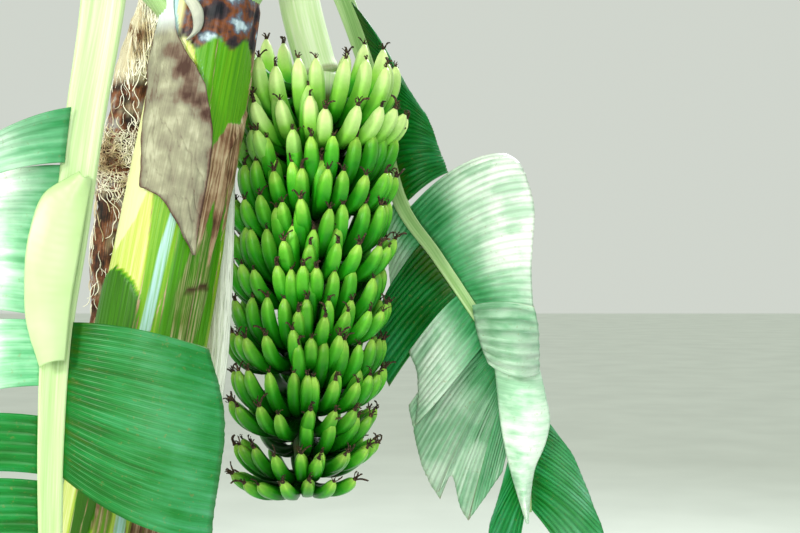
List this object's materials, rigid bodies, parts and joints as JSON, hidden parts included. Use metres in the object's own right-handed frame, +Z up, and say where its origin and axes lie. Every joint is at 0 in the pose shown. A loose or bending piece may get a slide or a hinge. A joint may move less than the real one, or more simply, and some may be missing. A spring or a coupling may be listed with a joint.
{
  "type": "fruiting banana plant",
  "caption": "Whole fruiting banana plant: leaning stem of wrapped sheaths, crown of torn leaves, a hanging bunch of green fruit, cut flat at the ground.",
  "frame": {"origin": "middle of the flat cut at ground level, under the stem", "axes": "+Z up; the stem leans towards +X, and the bunch hangs on the +X and +Y side; the picture looks along +Y"},
  "size_m": [2.9335, 2.3083, 3.3118],
  "materials": {
    "pseudostem": "satin",
    "dry_sheath": "matte",
    "dead_fibre": "matte",
    "fruit_stalk": "satin",
    "fruit": "satin",
    "leaf": "satin"
  },
  "bodies": {
    "root": {"broken_leaf_blade": "leaf", "broken_leaf_end": "leaf", "broken_leaf_stalk": "leaf", "bunch_axis": "fruit_stalk", "dead_bundle": "dead_fibre", "dry_sheath": "dry_sheath", "dry_stalk": "dry_sheath", "hand_01": "fruit", "hand_02": "fruit", "hand_03": "fruit", "hand_04": "fruit", "hand_05": "fruit", "hand_06": "fruit", "hand_07": "fruit", "hand_08": "fruit", "hand_09": "fruit", "hand_10": "fruit", "hand_11": "fruit", "hand_12": "fruit", "hand_13": "fruit", "hanging_leaf_blade": "leaf", "hanging_leaf_end": "leaf", "hanging_leaf_stalk": "leaf", "leaf_1_inner": "leaf", "leaf_1_outer": "leaf", "leaf_2_inner": "leaf", "leaf_2_outer": "leaf", "leaf_3_inner": "leaf", "leaf_3_outer": "leaf", "leaf_4_inner": "leaf", "leaf_4_outer": "leaf", "leaf_5_inner": "leaf", "leaf_5_outer": "leaf", "leaf_6_inner": "leaf", "leaf_6_outer": "leaf", "leaf_7_inner": "leaf", "leaf_7_outer": "leaf", "leaf_8_inner": "leaf", "leaf_8_outer": "leaf", "pseudostem": "pseudostem", "stalk_fall": "fruit_stalk", "stalk_rise": "fruit_stalk"}
  },
  "joints": []
}
